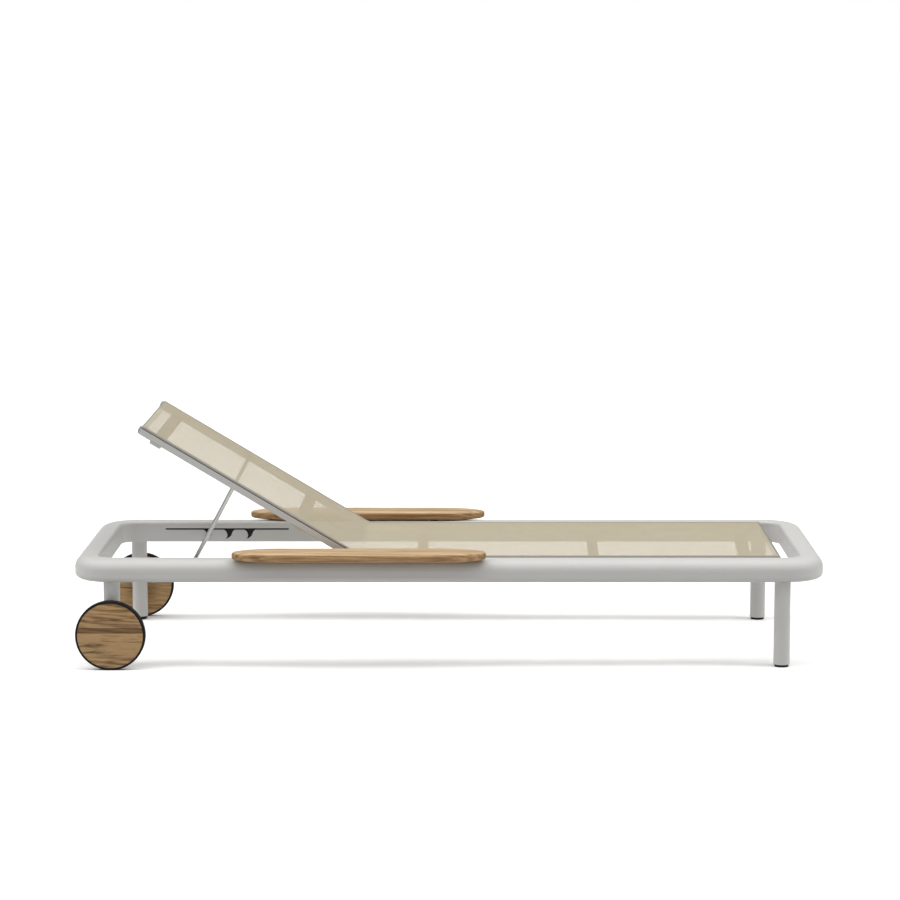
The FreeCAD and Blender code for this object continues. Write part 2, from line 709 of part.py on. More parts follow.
def arm_board(side):
    bottom = RING_TOP + BOARD_PAD
    board = Part.Face(board_outline(side, bottom)).extrude(vec(0, 0, BOARD_THICKNESS))
    level = [edge for edge in board.Edges if edge.BoundBox.ZLength < 0.01]
    board = board.makeFillet(BOARD_ROUND, level)
    for x in PAD_PLACES:
        hole = Part.makeCylinder(SCREW_RADIUS, BOARD_SCREW_DEPTH, vec(x, side * PAD_Y, bottom))
        board = board.cut(hole)
    return board


def board_pad(x, side):
    pad = Part.makeCylinder(PAD_RADIUS, BOARD_PAD, vec(x, side * PAD_Y, RING_TOP))
    return pad.cut(Part.makeCylinder(SCREW_RADIUS, BOARD_PAD, vec(x, side * PAD_Y, RING_TOP)))


def board_screw(x, side):
    """A screw from inside the rail up into the board."""
    y = side * PAD_Y
    seat = RING_TOP - TUBE_WALL
    head = Part.makeCylinder(SCREW_HEAD_RADIUS, SCREW_HEAD_HEIGHT, vec(x, y, seat - SCREW_HEAD_HEIGHT))
    length = TUBE_WALL + BOARD_PAD + BOARD_SCREW_DEPTH
    return head.fuse(Part.makeCylinder(SCREW_RADIUS, length, vec(x, y, seat))).removeSplitter()


def make_boards():
    for hand, side in SIDES.items():
        save(f"arm_board_{hand}", arm_board(side))
    places = [(x, side) for side in SIDES.values() for x in PAD_PLACES]
    save("arm_board_pads", *[board_pad(x, side) for x, side in places])
    save("arm_board_screws", *[board_screw(x, side) for x, side in places])


os.makedirs("parts", exist_ok=True)
make_ring()
make_legs_and_wheels()
make_seat()
make_backrest()
make_prop()
make_boards()
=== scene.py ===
import json
import math

import bmesh
import bpy
from mathutils import Matrix, Vector


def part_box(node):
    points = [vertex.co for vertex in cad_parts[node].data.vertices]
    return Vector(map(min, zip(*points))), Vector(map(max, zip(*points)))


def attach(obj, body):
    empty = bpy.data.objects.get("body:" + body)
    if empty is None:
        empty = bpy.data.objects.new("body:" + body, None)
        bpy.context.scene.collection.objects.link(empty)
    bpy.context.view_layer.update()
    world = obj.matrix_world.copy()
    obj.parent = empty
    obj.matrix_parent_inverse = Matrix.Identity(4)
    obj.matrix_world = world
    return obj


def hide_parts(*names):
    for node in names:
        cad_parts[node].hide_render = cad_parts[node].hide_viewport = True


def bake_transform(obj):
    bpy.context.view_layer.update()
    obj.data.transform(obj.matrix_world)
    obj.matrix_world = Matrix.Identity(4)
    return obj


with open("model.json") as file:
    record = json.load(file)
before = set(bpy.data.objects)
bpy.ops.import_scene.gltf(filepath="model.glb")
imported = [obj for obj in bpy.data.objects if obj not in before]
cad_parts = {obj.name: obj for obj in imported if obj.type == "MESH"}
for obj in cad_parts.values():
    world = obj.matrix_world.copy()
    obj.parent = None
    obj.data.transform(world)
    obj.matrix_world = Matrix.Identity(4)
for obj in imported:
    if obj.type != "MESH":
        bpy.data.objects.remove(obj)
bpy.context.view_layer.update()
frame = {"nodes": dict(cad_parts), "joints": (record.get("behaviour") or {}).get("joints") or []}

nodes = frame["nodes"]
joints = {joint["name"]: joint for joint in frame["joints"]}
HANDS = {"left": 1, "right": -1}


# Ring, legs and rails. ---------------------------------------------------------------------------
# The frame is extruded and bent aluminium tube, welded, ground flush and powder-coated in a light
# warm grey. The coat has a fine orange peel and a few faint marks from use.

COAT_GREY = (0.600, 0.594, 0.574, 1)
COAT_GREY_DULL = (0.560, 0.553, 0.534, 1)


def new_material(name, base, roughness):
    """A material with its Principled shader, the shader's own values set on its sockets."""
    material = bpy.data.materials.new(name)
    material.use_nodes = True
    shader = material.node_tree.nodes["Principled BSDF"]
    shader.inputs["Base Color"].default_value = base
    shader.inputs["Roughness"].default_value = roughness
    return material, shader


def add_node(material, kind, inputs=(), **settings):
    """A shader node, with its settings and the values or links that its inputs take."""
    tree = material.node_tree
    node = tree.nodes.new(kind)
    for key, value in settings.items():
        setattr(node, key, value)
    for key, value in dict(inputs).items():
        if isinstance(value, bpy.types.NodeSocket):
            tree.links.new(value, node.inputs[key])
        else:
            node.inputs[key].default_value = value
    return node


def object_point(material, scale=(1, 1, 1), shift=(0, 0, 0)):
    """The piece's own coordinates in metres, through a Mapping node."""
    place = add_node(material, "ShaderNodeTexCoord").outputs["Object"]
    mapping = {"Vector": place, "Scale": scale, "Location": shift}
    return add_node(material, "ShaderNodeMapping", mapping).outputs["Vector"]


def noise(material, point, scale, detail=2.0, roughness=0.5, distortion=0.0):
    values = {
        "Vector": point,
        "Scale": scale,
        "Detail": detail,
        "Roughness": roughness,
        "Distortion": distortion,
    }
    return add_node(material, "ShaderNodeTexNoise", values).outputs["Fac"]


def remap(material, value, low, high, new_low=0.0, new_high=1.0):
    values = {"Value": value, "From Min": low, "From Max": high, "To Min": new_low, "To Max": new_high}
    return add_node(material, "ShaderNodeMapRange", values).outputs["Result"]


def mix_colour(material, share, first, second, mode="MIX"):
    mixer = add_node(material, "ShaderNodeMix", data_type="RGBA", blend_type=mode)
    for key, value in (("Factor", share), ("A", first), ("B", second)):
        socket = [s for s in mixer.inputs if s.name == key and s.type in ("RGBA", "VALUE")]
        socket = socket[0] if key == "Factor" else socket[-1]
        if isinstance(value, bpy.types.NodeSocket):
            material.node_tree.links.new(value, socket)
        else:
            socket.default_value = value
    return [s for s in mixer.outputs if s.type == "RGBA"][0]


def math_node(material, operation, first, second=0.0, third=0.0):
    return add_node(
        material, "ShaderNodeMath", {0: first, 1: second, 2: third}, operation=operation
    ).outputs[0]


def plug(material, shader, key, value):
    material.node_tree.links.new(value, shader.inputs[key])


def bump(material, shader, height, strength, distance):
    values = {"Height": height, "Strength": strength, "Distance": distance}
    plug(material, shader, "Normal", add_node(material, "ShaderNodeBump", values).outputs["Normal"])


def powder_coat():
    material, shader = new_material("powder_coat_warm_grey", COAT_GREY, 0.48)
    shader.inputs["Specular IOR Level"].default_value = 0.35
    point = object_point(material)
    cloud = remap(material, noise(material, point, 7, 3), 0.35, 0.75, 0, 0.35)
    plug(material, shader, "Base Color", mix_colour(material, cloud, COAT_GREY, COAT_GREY_DULL))
    marks = noise(material, object_point(material, (1, 1, 1.6)), 60, 4, 0.6)
    plug(material, shader, "Roughness", remap(material, marks, 0.3, 0.75, 0.42, 0.56))
    bump(material, shader, noise(material, point, 650, 2), 0.12, 0.0004)
    return material


def dress(material, *names):
    """Give CAD nodes their material."""
    for name in names:
        node = nodes[name]
        node.data.materials.clear()
        node.data.materials.append(material)


def both(name):
    return [f"{name}_{hand}" for hand in HANDS]


coat = powder_coat()
dress(coat, "head_rail", "foot_rail", *both("side_rail"), *both("corner_head"), *both("corner_foot"))
dress(coat, *both("leg_head"), *both("leg_foot"), *both("seat_rail"), *both("back_rail"))
dress(coat, "seat_crossbar_upper", "seat_crossbar_middle", "seat_crossbar_foot")
dress(coat, "head_crossbar", "lower_crossbar")


# Welds. ------------------------------------------------------------------------------------------
# Each leg is welded to the underside of the ring. The bead is ground to a small hollow fillet all
# round the leg, and takes the same powder coat.

WELD_SIZE = 0.0022
WELD_SINK = 0.0006
WELD_HOLLOW = 0.3 * WELD_SIZE


def finish_mesh(mesh, name, *materials):
    """An object from a bmesh, at the origin, with its mesh smooth and its normals outwards."""
    bmesh.ops.recalc_face_normals(mesh, faces=mesh.faces)
    data = bpy.data.meshes.new(name)
    mesh.to_mesh(data)
    mesh.free()
    for material in materials:
        data.materials.append(material)
    data.shade_smooth()
    piece = bpy.data.objects.new(name, data)
    bpy.context.scene.collection.objects.link(piece)
    return piece


def lathe(mesh, profile, centre, axis, steps=96):
    """Spin a chain of points all the way round an axis into a closed shape."""
    corners = [mesh.verts.new(point) for point in profile]
    edges = [mesh.edges.new(pair) for pair in zip(corners, corners[1:])]
    bmesh.ops.spin(
        mesh, geom=corners + edges, cent=centre, axis=axis, angle=math.tau, steps=steps, use_merge=True
    )
    bmesh.ops.remove_doubles(mesh, verts=mesh.verts, dist=1e-6)
    return mesh


def weld(leg_name):
    low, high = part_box(leg_name)
    centre = (low + high) / 2
    radius = (high.x - low.x) / 2
    top = high.z
    profile = [
        (centre.x + radius - WELD_SINK, centre.y, top + WELD_SINK),
        (centre.x + radius - WELD_SINK, centre.y, top - WELD_SIZE),
        (centre.x + radius + WELD_HOLLOW, centre.y, top - WELD_HOLLOW),
        (centre.x + radius + WELD_SIZE, centre.y, top + WELD_SINK),
        (centre.x + radius - WELD_SINK, centre.y, top + WELD_SINK),
    ]
    mesh = lathe(bmesh.new(), profile, (centre.x, centre.y, top), (0, 0, 1), 48)
    return finish_mesh(mesh, leg_name.replace("leg", "weld"), coat)


for leg_name in (*both("leg_head"), *both("leg_foot")):
    bead = weld(leg_name)
    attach(bead, "frame")


# Teak. -------------------------------------------------------------------------------------------
# The armrests and wheels are solid teak, sanded and oiled. The grain runs lengthwise, with darker
# streaks, fine pores and an occasional pin knot.

BOARD_TONES = ((0.690, 0.505, 0.310, 1), (0.450, 0.300, 0.155, 1), (0.200, 0.115, 0.050, 1))
SIDE_SHADE_TINT = (0.78, 0.68, 0.54, 1)  # painted shade: the darker, warmer tint multiplied onto the side faces


def teak(name, seed, tones, stretch=30.0, planks=(), shade_sides_and_ends=False):
    """Oiled teak with its grain along X. planks gives the heights where the tone changes, and how."""
    pale, middling, dark = tones
    material, shader = new_material(name, pale, 0.5)
    shader.inputs["Specular IOR Level"].default_value = 0.3
    shift = (seed * 3.7, seed * 1.3, seed * 2.1)
    point = object_point(material, (1 / stretch, 1, 1), shift=shift)
    tone = math_node(material, "MULTIPLY", noise(material, point, 9, 2, 0.5), 0.6)
    height = add_node(material, "ShaderNodeSeparateXYZ", {0: object_point(material)}).outputs["Z"]
    for level, change in planks:
        above = math_node(material, "GREATER_THAN", height, level)
        tone = math_node(material, "MULTIPLY_ADD", above, change, tone)
    bands = {"Vector": point, "Scale": 42, "Distortion": 7.5, "Detail": 3, "Detail Scale": 1.3}
    rings = add_node(
        material, "ShaderNodeTexWave", bands, wave_type="BANDS", bands_direction="DIAGONAL"
    ).outputs["Fac"]
    streaks = noise(material, point, 150, 4, 0.6, 0.2)
    tone = math_node(material, "MULTIPLY_ADD", rings, 0.40, tone)
    tone = math_node(material, "MULTIPLY_ADD", streaks, 0.9, tone)
    colour = mix_colour(material, remap(material, tone, 0.76, 1.16), pale, middling)
    colour = mix_colour(material, remap(material, tone, 1.15, 1.9, 0, 0.8), colour, dark)
    heart = remap(material, noise(material, point, 70, 3, 0.55, 0.6), 0.54, 0.68, 0, 0.8)
    colour = mix_colour(material, heart, colour, dark)
    fibres = noise(material, object_point(material, (1 / 30, 1, 1)), 900, 2, 0.5)
    colour = mix_colour(material, remap(material, fibres, 0.56, 0.68, 0, 0.45), colour, dark)
    scattered = object_point(material, (0.45, 1, 1), shift=shift)
    cells = add_node(material, "ShaderNodeTexVoronoi", {"Vector": scattered, "Scale": 9})
    knots = remap(material, cells.outputs["Distance"], 0.0, 0.045, 0.7, 0)
    colour = mix_colour(material, knots, colour, dark)
    # Painted shade: faces that turn away from the top are multiplied by a darker, warmer tint, because the
    # sides get less light. Faces towards the tips are also mixed darker.
    if shade_sides_and_ends:
        normal = add_node(material, "ShaderNodeTexCoord").outputs["Normal"]
        facing = add_node(material, "ShaderNodeSeparateXYZ", {0: normal}).outputs
        sides = remap(material, facing["Z"], 0.25, 0.85, 1, 0)
        colour = mix_colour(material, sides, colour, SIDE_SHADE_TINT, "MULTIPLY")
        endways = math_node(material, "ABSOLUTE", facing["X"])
        colour = mix_colour(material, remap(material, endways, 0.45, 0.95, 0, 0.65), colour, dark)
    plug(material, shader, "Base Color", colour)
    plug(material, shader, "Roughness", remap(material, streaks, 0.3, 0.7, 0.42, 0.60))
    bump(material, shader, fibres, 0.25, 0.0004)
    return material


# Armrest boards. ---------------------------------------------------------------------------------
# One long board of solid teak lies on each side rail. Its ends are half ellipses, its edges are
# rounded over and it thins a little towards the tips. Screws from inside the rail hold it.

BOARD_TAPER = 0.140
BOARD_EDGE = 0.0078
BOARD_TIP_THIN = 0.0020


def arm_board(hand):
    low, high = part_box(f"arm_board_{hand}")
    centre = (low + high) / 2
    half_length, half_width = (high.x - low.x) / 2, (high.y - low.y) / 2
    mesh = bmesh.new()
    bmesh.ops.create_circle(mesh, cap_ends=True, segments=72, radius=1)
    bmesh.ops.rotate(mesh, verts=mesh.verts, matrix=Matrix.Rotation(math.tau / 144, 3, "Z"))
    bmesh.ops.scale(mesh, verts=mesh.verts, vec=(BOARD_TAPER, half_width, 1))
    for end in (-1, 1):
        half = [v for v in mesh.verts if v.co.x * end > 0]
        bmesh.ops.translate(mesh, verts=half, vec=(end * (half_length - BOARD_TAPER), 0, 0))
    sides = bmesh.ops.extrude_face_region(mesh, geom=mesh.faces[:])["geom"]
    raised = [v for v in sides if isinstance(v, bmesh.types.BMVert)]
    bmesh.ops.translate(mesh, verts=raised, vec=(0, 0, high.z - low.z))
    bmesh.ops.recalc_face_normals(mesh, faces=mesh.faces)
    rims = [e for e in mesh.edges if abs(e.verts[0].co.z - e.verts[1].co.z) < 1e-6]
    bmesh.ops.bevel(
        mesh, geom=rims, affect="EDGES", offset=BOARD_EDGE, segments=6, profile=0.5, material=-1
    )
    for vert in mesh.verts:
        past = (abs(vert.co.x) - (half_length - BOARD_TAPER)) / BOARD_TAPER
        share = max(0.0, past) ** 3
        middle = (high.z - low.z) / 2
        squeeze = 1 - share * BOARD_TIP_THIN / middle
        vert.co.z = middle + (vert.co.z - middle) * squeeze
    bmesh.ops.translate(mesh, verts=mesh.verts, vec=(centre.x, centre.y, low.z))
    # The boards' sides carry painted shade.
    wood = teak(f"teak_board_{hand}", 2 if hand == "left" else 5, BOARD_TONES, shade_sides_and_ends=True)
    return finish_mesh(mesh, f"teak_arm_board_{hand}", wood)


for hand in HANDS:
    board = arm_board(hand)
    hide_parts(f"arm_board_{hand}")
    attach(board, "frame")


# Wheels. -----------------------------------------------------------------------------------------
# Each wheel is a disc glued up from four teak planks, with a thin V between them, in a plain black
# rubber tyre. A nylon bush in its blind bore turns on the axle, behind a spring clip.

WHEEL_TONES = ((0.500, 0.312, 0.148, 1), (0.262, 0.150, 0.064, 1), (0.090, 0.044, 0.016, 1))
PLANKS = ((-0.060, -0.30), (0.007, 0.95), (0.021, -0.60))
PLANK_GAP = 0.0004
PLANK_BEVEL = 0.0006
BORE_DEPTH = 0.017


def lies_on(edge, faces):
    """Whether an edge runs along one of the disc's faces, which are given by their Y."""
    return any(all(abs(vert.co.y - face) < 1e-6 for vert in edge.verts) for face in faces)


def wheel_disc(hand):
    side = HANDS[hand]
    low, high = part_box(f"wheel_disc_{hand}")
    bore = (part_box(f"wheel_bush_{hand}")[1].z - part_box(f"wheel_bush_{hand}")[0].z) / 2
    centre = (low + high) / 2
    radius = (high.z - low.z) / 2
    inner, outer = (low.y, high.y) if side > 0 else (high.y, low.y)
    rim = radius - 0.001
    profile = [
        (0, inner + side * BORE_DEPTH),
        (bore, inner + side * BORE_DEPTH),
        (bore, inner),
        (rim, inner),
        (radius, inner + side * 0.001),
        (radius, outer - side * 0.001),
        (rim, outer),
        (0, outer),
    ]
    whole = lathe(
        bmesh.new(), [(centre.x, y, centre.z + r) for r, y in profile], (centre.x, 0, centre.z), (0, 1, 0)
    )
    bmesh.ops.recalc_face_normals(whole, faces=whole.faces)
    planks = bmesh.new()
    cuts = [-1.0, *[height for height, change in PLANKS], 1.0]
    for below, above in zip(cuts, cuts[1:]):
        plank = whole.copy()
        for height, up in ((below + PLANK_GAP / 2, -1), (above - PLANK_GAP / 2, 1)):
            level = Vector((0, 0, centre.z + height))
            everything = plank.verts[:] + plank.edges[:] + plank.faces[:]
            bmesh.ops.bisect_plane(
                plank, geom=everything, plane_co=level, plane_no=(0, 0, up), clear_outer=True
            )
            open_edges = [e for e in plank.edges if e.is_boundary]
            caps = bmesh.ops.edgenet_fill(plank, edges=open_edges)["faces"] if open_edges else []
            cut_faces = (outer,) if abs(height) < bore else (outer, inner)
            lips = list({e for f in caps for e in f.edges if lies_on(e, cut_faces)})
            bmesh.ops.bevel(
                plank, geom=lips, affect="EDGES", offset=PLANK_BEVEL, segments=2, profile=0.5, material=-1
            )
        data = bpy.data.meshes.new("plank")
        plank.to_mesh(data)
        planks.from_mesh(data)
        bpy.data.meshes.remove(data)
        plank.free()
    whole.free()
    planks_at = [(centre.z + height, change) for height, change in PLANKS]
    wood = teak(f"teak_wheel_{hand}", 9 if hand == "left" else 12, WHEEL_TONES, 10.0, planks_at)
    return finish_mesh(planks, f"teak_wheel_{hand}", wood)


def black_rubber():
    black, dusty = (0.008, 0.008, 0.008, 1), (0.030, 0.028, 0.026, 1)
    material, shader = new_material("black_rubber", black, 0.8)
    shader.inputs["Specular IOR Level"].default_value = 0.2
    point = object_point(material)
    scuff = remap(material, noise(material, point, 90, 4, 0.6), 0.45, 0.8, 0, 0.5)
    plug(material, shader, "Base Color", mix_colour(material, scuff, black, dusty))
    bump(material, shader, noise(material, point, 800, 2), 0.3, 0.0003)
    return material


def black_nylon():
    material, shader = new_material("black_nylon", (0.008, 0.008, 0.008, 1), 0.6)
    shader.inputs["Specular IOR Level"].default_value = 0.2
    point = object_point(material)
    plug(material, shader, "Roughness", remap(material, noise(material, point, 120, 3), 0.3, 0.7, 0.42, 0.62))
    bump(material, shader, noise(material, point, 1500, 2), 0.2, 0.0002)
    return material


rubber = black_rubber()
nylon = black_nylon()
dress(rubber, *both("tyre"))
dress(nylon, *both("wheel_bush"), "prop_bushes", "head_glides", "foot_glides", *both("slot_liner"))
dress(nylon, "arm_board_pads")
for hand in HANDS:
    disc = wheel_disc(hand)
    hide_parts(f"wheel_disc_{hand}")
    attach(disc, f"wheel_{hand}")


# Prop, axles, hinge plates and screws. -----------------------------------------------------------
# These are stainless steel. The prop is bent from 11 mm rod, and its ends turn in nylon bushes in
# the back rails. The brushing runs round the rods, so it is a fine even grain here.


def stainless():
    material, shader = new_material("stainless_steel", (0.50, 0.50, 0.49, 1), 0.35)
    shader.inputs["Metallic"].default_value = 1.0
    point = object_point(material)
    grain = noise(material, point, 700, 3, 0.6)
    cloud = remap(material, noise(material, point, 25, 3), 0.4, 0.7, 0, 0.4)
    bright, dull = (0.50, 0.50, 0.49, 1), (0.40, 0.40, 0.39, 1)
    plug(material, shader, "Base Color", mix_colour(material, cloud, bright, dull))
    plug(material, shader, "Roughness", remap(material, grain, 0.3, 0.7, 0.28, 0.46))
    bump(material, shader, grain, 0.15, 0.0002)
    return material


def grey_nylon():
    light, dark = (0.44, 0.435, 0.42, 1), (0.38, 0.375, 0.36, 1)
    material, shader = new_material("grey_nylon", light, 0.55)
    point = object_point(material)
    cloud = remap(material, noise(material, point, 60, 3), 0.35, 0.7, 0, 0.5)
    plug(material, shader, "Base Color", mix_colour(material, cloud, light, dark))
    bump(material, shader, noise(material, point, 1400, 2), 0.2, 0.0002)
    return material


steel = stainless()
dress(steel, *both("prop_leg"), "prop_cross_rod", "prop_studs", *both("axle"), "axle_clips")
dress(steel, *both("hinge_plate"), "hinge_pins", "seat_rail_screws", "arm_board_screws")
dress(grey_nylon(), "seat_rail_caps", "back_rail_caps", "seat_rail_spacers")


# Sling. ------------------------------------------------------------------------------------------
# One taut sheet of coated polyester mesh covers seat and backrest. A cord is welded in each long
# edge and slides in the rails' grooves, and both ends are turned under and sewn.

hinge = Vector(joints["backrest_hinge"]["pos_m"])
seat_low, seat_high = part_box("seat_sling")
cord_low, cord_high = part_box("seat_keder_left")
MESH_TOP = seat_high.z
MESH_RISE = MESH_TOP - hinge.z
BACK_ANGLE = math.radians(-joints["backrest_hinge"]["range_deg"][0])
BACK_LENGTH = 0.697
FOLD_RADIUS = 0.045
MESH_THICKNESS = 0.0008
SAG = 0.0020
RAIL_FACE = seat_high.y + 0.0010
RAIL_INNER = RAIL_FACE - 0.018
GROOVE_MOUTH = 0.0028
EDGE_FACE = RAIL_FACE + 0.0010
EDGE_ROUND = 0.0030
EDGE_CURL = 0.0011
EDGE_TUCK = 0.0010
EDGE_BAND = 0.0034
EDGE_TAUPE = (0.36, 0.34, 0.30, 1)
WELT_RISE = 0.0022
WELT_WIDTH = 0.0016
WELT_INSET = 0.0012
END_FLAT = 0.08
YARN_PITCH = 0.0018


def fold_line():
    """X of the crease between the seat's and the backrest's top lines, and the fold's tangent length."""
    half = math.tan(BACK_ANGLE / 2)
    return hinge.x + MESH_RISE * half, FOLD_RADIUS * half


def along_sling(run):
    """Point and slope of the sling's top line, at a distance from the foot end up over the fold."""
    crease_x, tangent = fold_line()
    to_arc = seat_high.x - (crease_x + tangent)
    arc = FOLD_RADIUS * BACK_ANGLE
    if run <= to_arc:
        return seat_high.x - run, MESH_TOP, 0.0
    if run <= to_arc + arc:
        turn = (run - to_arc) / FOLD_RADIUS
        x = crease_x + tangent - FOLD_RADIUS * math.sin(turn)
        return x, MESH_TOP + FOLD_RADIUS * (1 - math.cos(turn)), turn
    past = run - to_arc - arc + tangent
    x = crease_x - past * math.cos(BACK_ANGLE)
    return x, MESH_TOP + past * math.sin(BACK_ANGLE), BACK_ANGLE


def sling_length():
    crease_x, tangent = fold_line()
    past_crease = BACK_LENGTH - MESH_RISE * math.tan(BACK_ANGLE / 2)
    return seat_high.x - crease_x - tangent + FOLD_RADIUS * BACK_ANGLE + past_crease - tangent


def edge_path():
    """Lengths of the flat half, the turn over the rail, the drop, the turn inwards and the tuck."""
    mouth_top = (cord_low.z + cord_high.z + GROOVE_MOUTH) / 2
    drop = MESH_TOP - EDGE_ROUND - mouth_top
    quarter = math.pi / 2
    return EDGE_FACE - EDGE_ROUND, EDGE_ROUND * quarter, drop, EDGE_CURL * quarter, EDGE_TUCK


def half_girth():
    return sum(edge_path())


def across_sling(distance):
    """Y and drop below the flat, at a distance across the sheet from its middle line."""
    side, reach = math.copysign(1, distance), abs(distance)
    flat, over, drop, curl, tuck = edge_path()
    if reach <= flat:
        welt = WELT_RISE * math.exp(-(((flat - WELT_INSET - reach) / WELT_WIDTH) ** 2))
        return distance, -welt
    reach -= flat
    if reach <= over:
        turn = reach / EDGE_ROUND
        lift = WELT_RISE * math.exp(-((WELT_INSET / WELT_WIDTH) ** 2)) * math.cos(turn) ** 2
        return side * (flat + EDGE_ROUND * math.sin(turn)), EDGE_ROUND * (1 - math.cos(turn)) - lift
    reach -= over
    if reach <= drop:
        return side * EDGE_FACE, EDGE_ROUND + reach
    reach -= drop
    if reach <= curl:
        turn = reach / EDGE_CURL
        inwards = EDGE_FACE - EDGE_CURL * (1 - math.cos(turn))
        return side * inwards, EDGE_ROUND + drop + EDGE_CURL * math.sin(turn)
    return side * (EDGE_FACE - EDGE_CURL - (reach - curl)), EDGE_ROUND + drop + EDGE_CURL


def on_sling(run, y, drop):
    """A point of the sling, which sags a little between its rails and is flat at both ends."""
    x, z, slope = along_sling(run)
    taut = max(0.0, min(1.0, run / END_FLAT, (sling_length() - run) / END_FLAT))
    drop += SAG * max(0.0, 1 - (y / RAIL_FACE) ** 2) * taut
    return Vector((x - drop * math.sin(slope), y, z - drop * math.cos(slope)))


def mesh_fabric(name, pale, deep, closed, open_middle):
    """Coated yarn in a plain weave. Light comes through between the yarns, and the edges are bound in a
    darker taupe tape, which on the turned-down long edges also paints their shade.
    """
    material, shader = new_material(name, pale, 0.62)
    shader.inputs["Specular IOR Level"].default_value = 0.25
    place = add_node(material, "ShaderNodeUVMap", uv_map="cloth").outputs["UV"]
    axes = add_node(material, "ShaderNodeSeparateXYZ", {0: place})
    across, along = axes.outputs["X"], axes.outputs["Y"]
    warp, weft = (
        math_node(material, "SINE", math_node(material, "MULTIPLY", run, math.tau / YARN_PITCH))
        for run in (across, along)
    )
    gaps = [remap(material, yarns, -0.5, 0.8) for yarns in (warp, weft)]
    hole = math_node(material, "MULTIPLY", *gaps)
    uneven = remap(material, noise(material, place, 14, 3), 0.3, 0.7, -0.02, 0.02)
    cover = math_node(material, "ADD", remap(material, hole, 0, 1, closed, open_middle), uneven)
    half_length = sling_length() / 2
    from_middle = math_node(material, "ABSOLUTE", math_node(material, "SUBTRACT", along, half_length))
    # A darker taupe band runs along all edges. At the ends it is binding tape. On the turned-down long edges
    # it is binding tape and also painted shade along the rails' grooves.
    at_end = math_node(material, "GREATER_THAN", from_middle, half_length - EDGE_BAND)
    from_centre = math_node(material, "ABSOLUTE", across)
    at_side = math_node(material, "GREATER_THAN", from_centre, EDGE_FACE - EDGE_ROUND - EDGE_BAND)
    band = math_node(material, "MAXIMUM", at_end, at_side)
    plug(material, shader, "Alpha", math_node(material, "MAXIMUM", cover, band))
    drawn_out = add_node(material, "ShaderNodeMapping", {"Vector": place, "Scale": (1, 0.05, 1)})
    thread = remap(material, noise(material, drawn_out.outputs["Vector"], 420, 3), 0.3, 0.7, 0, 0.5)
    colour = mix_colour(material, thread, pale, deep)
    plug(material, shader, "Base Color", mix_colour(material, band, colour, EDGE_TAUPE))
    bump(material, shader, math_node(material, "MULTIPLY", warp, weft), 0.35, 0.0003)
    return material


def cloth_grid(columns, rows, place_point):
    """A strip of cloth. place_point(u, v) gives a corner's point and its place on the flat cloth."""
    mesh = bmesh.new()
    bmesh.ops.create_grid(mesh, x_segments=columns, y_segments=rows, size=0.5)
    cloth = mesh.loops.layers.uv.new("cloth")
    for vert in mesh.verts:
        point, flat_place = place_point(2 * vert.co.x, vert.co.y + 0.5)
        vert.co = point
        for loop in vert.link_loops:
            loop[cloth].uv = flat_place
    return mesh


def thicken(piece):
    wall = piece.modifiers.new("thickness", "SOLIDIFY")
    wall.thickness = MESH_THICKNESS
    wall.offset = -1


CLOSE_ROWS_AT = 0.55
CLOSE_ROWS_FROM = RAIL_FACE - 0.010


def sling_point(u, v):
    """The middle is coarse, and nearly half of the columns crowd into the turned-down edges."""
    if abs(u) <= CLOSE_ROWS_AT:
        across = u / CLOSE_ROWS_AT * CLOSE_ROWS_FROM
    else:
        share = (abs(u) - CLOSE_ROWS_AT) / (1 - CLOSE_ROWS_AT)
        across = math.copysign(CLOSE_ROWS_FROM + share * (half_girth() - CLOSE_ROWS_FROM), u)
    run = v * sling_length()
    return on_sling(run, *across_sling(across)), (across, run)


fabric = mesh_fabric("sand_mesh", (0.595, 0.530, 0.392, 1), (0.510, 0.445, 0.322, 1), 0.71, 0.19)
sheet = finish_mesh(cloth_grid(84, 210, sling_point), "mesh_sling", fabric)
thicken(sheet)


# Sling hems. -------------------------------------------------------------------------------------
# At both ends the mesh turns under round a small fold and lies back against itself between the rails,
# held by two rows of lockstitch in a pale thread.

HEM_FOLD = 0.0013
HEM_WIDTH = 0.015
HEM_ROWS = (0.0090, 0.0125)
STITCH_PITCH = 0.0042
STITCH_SIZE = (0.0004, 0.0015, 0.00035)
STITCH_PROUD = 0.0001
HEM_SIDE_GAP = 0.0012
STITCH_SIDE_GAP = 0.0040

hem_fabric = mesh_fabric("pale_hem_mesh", (0.86, 0.86, 0.86, 1), (0.74, 0.74, 0.73, 1), 0.40, 0.08)


def hem(name, outwards_from, outwards):
    """A folded strip. outwards is +1 at the head end and -1 at the foot end, as the run grows."""

    def hem_point(u, v):
        path = v * (math.pi * HEM_FOLD + HEM_WIDTH)
        turn = min(math.pi, path / HEM_FOLD)
        back = max(0.0, path - math.pi * HEM_FOLD)
        run = outwards_from + outwards * (HEM_FOLD * math.sin(turn) - back)
        y = u * (RAIL_INNER - HEM_SIDE_GAP)
        return on_sling(run, y, HEM_FOLD * (1 - math.cos(turn))), (y, outwards_from - outwards * path)

    piece = finish_mesh(cloth_grid(40, 26, hem_point), name, hem_fabric)
    thicken(piece)
    return piece


def sewing_thread():
    pale, grey = (0.62, 0.57, 0.46, 1), (0.46, 0.42, 0.34, 1)
    material, shader = new_material("sewing_thread", pale, 0.7)
    twist = noise(material, object_point(material), 1800, 2)
    plug(material, shader, "Base Color", mix_colour(material, remap(material, twist, 0.3, 0.7), pale, grey))
    bump(material, shader, twist, 0.3, 0.0002)
    return material


